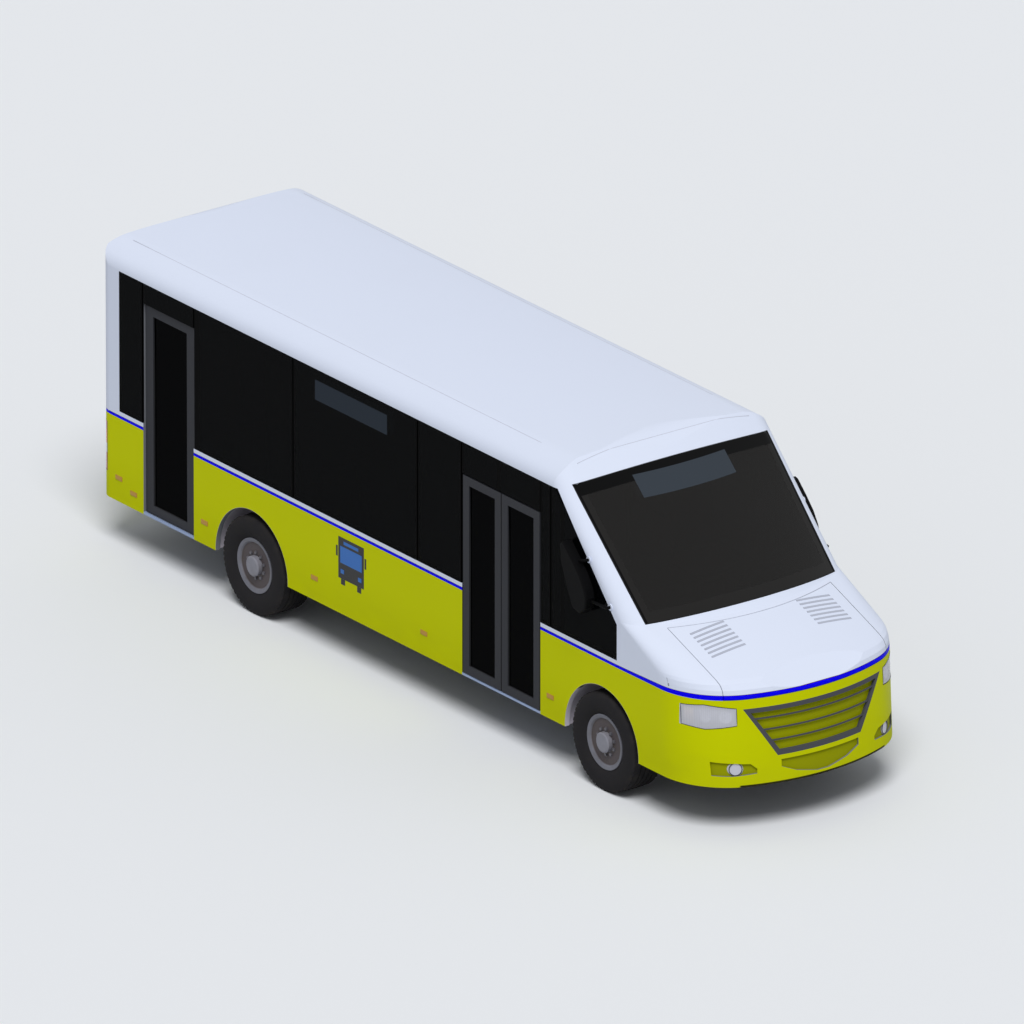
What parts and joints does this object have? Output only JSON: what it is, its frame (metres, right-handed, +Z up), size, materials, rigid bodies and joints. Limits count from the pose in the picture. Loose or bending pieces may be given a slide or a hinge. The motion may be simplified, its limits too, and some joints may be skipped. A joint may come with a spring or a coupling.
{
  "type": "city minibus",
  "caption": "Bonneted city minibus with a glazed saloon, hinged passenger doors, a driver's door, an opening bonnet, steered front wheels and freely turning road wheels",
  "frame": {"origin": "on the ground under the middle of the overall length and width", "axes": "+X is forward, +Y is to the vehicle's left, +Z is up"},
  "size_m": [9.18, 2.6, 2.9415],
  "materials": {
    "white_paint": "gloss",
    "yellow_paint": "gloss",
    "tinted_glass": "polished",
    "dark_glass": "polished",
    "door_frame": "satin",
    "dark_plastic": "matte",
    "seat_plastic": "satin",
    "liner_plastic": "matte",
    "lamp_lens": "gloss",
    "amber_lens": "gloss",
    "step_metal": "satin",
    "floor_board": "matte",
    "chassis_steel": "satin",
    "engine_iron": "rough",
    "rail_steel": "brushed",
    "tank_aluminium": "satin",
    "rim_steel": "satin",
    "tyre": "matte"
  },
  "bodies": {
    "body": {"cab_platform": "floor_board", "chassis_frame": "chassis_steel", "dashboard": "dark_plastic", "door_sills": "step_metal", "driver_seat": "seat_plastic", "engine": "engine_iron", "exhaust": "rail_steel", "floor": "floor_board", "fog_lamps": "lamp_lens", "front_axle": "engine_iron", "front_fascia": "yellow_paint", "fuel_tank": "tank_aluminium", "grille": "dark_plastic", "handrails": "rail_steel", "headlamps": "lamp_lens", "leaf_springs": "chassis_steel", "left_front_wing": "yellow_paint", "left_side_wall": "yellow_paint", "mirror_left": "dark_plastic", "mirror_right": "dark_plastic", "passenger_seats": "seat_plastic", "propshaft": "chassis_steel", "rear_axle": "engine_iron", "rear_wall": "white_paint", "right_front_wing": "yellow_paint", "right_side_wall": "yellow_paint", "roof": "white_paint", "route_displays": "dark_plastic", "screen_frame": "white_paint", "side_markers": "amber_lens", "steering_wheel": "dark_plastic", "tail_lamps": "amber_lens", "wheel_houses": "liner_plastic", "window_glass": "dark_glass", "windscreen": "tinted_glass"},
    "wheel_front_right": {"tyre_front_right": "tyre", "rim_front_right": "rim_steel"},
    "wheel_front_left": {"tyre_front_left": "tyre", "rim_front_left": "rim_steel"},
    "wheel_rear_right": {"tyre_rear_right": "tyre", "rim_rear_right": "rim_steel"},
    "wheel_rear_left": {"tyre_rear_left": "tyre", "rim_rear_left": "rim_steel"},
    "steer_right": {"knuckle_right": "engine_iron"},
    "steer_left": {"knuckle_left": "engine_iron"},
    "track_rod": {"tie_rod": "chassis_steel"},
    "bonnet_lid": {"bonnet": "white_paint"},
    "front_door_rear_half": {"front_door_rear_leaf": "door_frame", "front_door_rear_leaf_glass": "dark_glass"},
    "front_door_front_half": {"front_door_front_leaf": "door_frame", "front_door_front_leaf_glass": "dark_glass"},
    "rear_door": {"rear_door_leaf": "door_frame", "rear_door_leaf_glass": "dark_glass"},
    "cab_door": {"driver_door": "yellow_paint", "driver_door_glass": "dark_glass"}
  },
  "joints": [
    {"name": "steering_right", "type": "hinge", "parent": "body", "child": "steer_right", "pos_m": [2.9, -0.925, 0.425], "axis": [0, 0, 1], "range_deg": [-35, 35]},
    {"name": "steering_left", "type": "hinge", "parent": "body", "child": "steer_left", "pos_m": [2.9, 0.925, 0.425], "axis": [0, 0, 1], "range_deg": [-35, 35]},
    {"name": "track_rod_swivel", "type": "hinge", "parent": "steer_left", "child": "track_rod", "pos_m": [2.79, 0.925, 0.345], "axis": [0, 0, 1], "range_deg": [-35, 35]},
    {"name": "front_right_wheel_spin", "type": "hinge", "parent": "steer_right", "child": "wheel_front_right", "pos_m": [2.9, -1, 0.464], "axis": [0, 1, 0], "continuous": true},
    {"name": "front_left_wheel_spin", "type": "hinge", "parent": "steer_left", "child": "wheel_front_left", "pos_m": [2.9, 1, 0.464], "axis": [0, 1, 0], "continuous": true},
    {"name": "rear_right_wheel_spin", "type": "hinge", "parent": "body", "child": "wheel_rear_right", "pos_m": [-2.3, -1, 0.464], "axis": [0, 1, 0], "continuous": true},
    {"name": "rear_left_wheel_spin", "type": "hinge", "parent": "body", "child": "wheel_rear_left", "pos_m": [-2.3, 1, 0.464], "axis": [0, 1, 0], "continuous": true},
    {"name": "bonnet_hinge", "type": "hinge", "parent": "body", "child": "bonnet_lid", "pos_m": [3.47, 0, 1.72], "axis": [0, -1, 0], "range_deg": [0, 55]},
    {"name": "front_door_rear_hinge", "type": "hinge", "parent": "body", "child": "front_door_rear_half", "pos_m": [0.869, -1.162, 1.4], "axis": [0, 0, -1], "range_deg": [0, 90]},
    {"name": "front_door_front_hinge", "type": "hinge", "parent": "body", "child": "front_door_front_half", "pos_m": [1.968, -1.162, 1.4], "axis": [0, 0, 1], "range_deg": [0, 90]},
    {"name": "rear_door_hinge", "type": "hinge", "parent": "body", "child": "rear_door", "pos_m": [-3.197, -1.142, 1.4], "axis": [0, 0, 1], "range_deg": [0, 90]},
    {"name": "cab_door_hinge", "type": "hinge", "parent": "body", "child": "cab_door", "pos_m": [2.241, 1.162, 1.4], "axis": [0, 0, -1], "range_deg": [0, 75]}
  ],
  "couplings": [
    {"joint": "steering_right", "follows": "steering_left", "ratio": 1},
    {"joint": "track_rod_swivel", "follows": "steering_left", "ratio": -1}
  ]
}
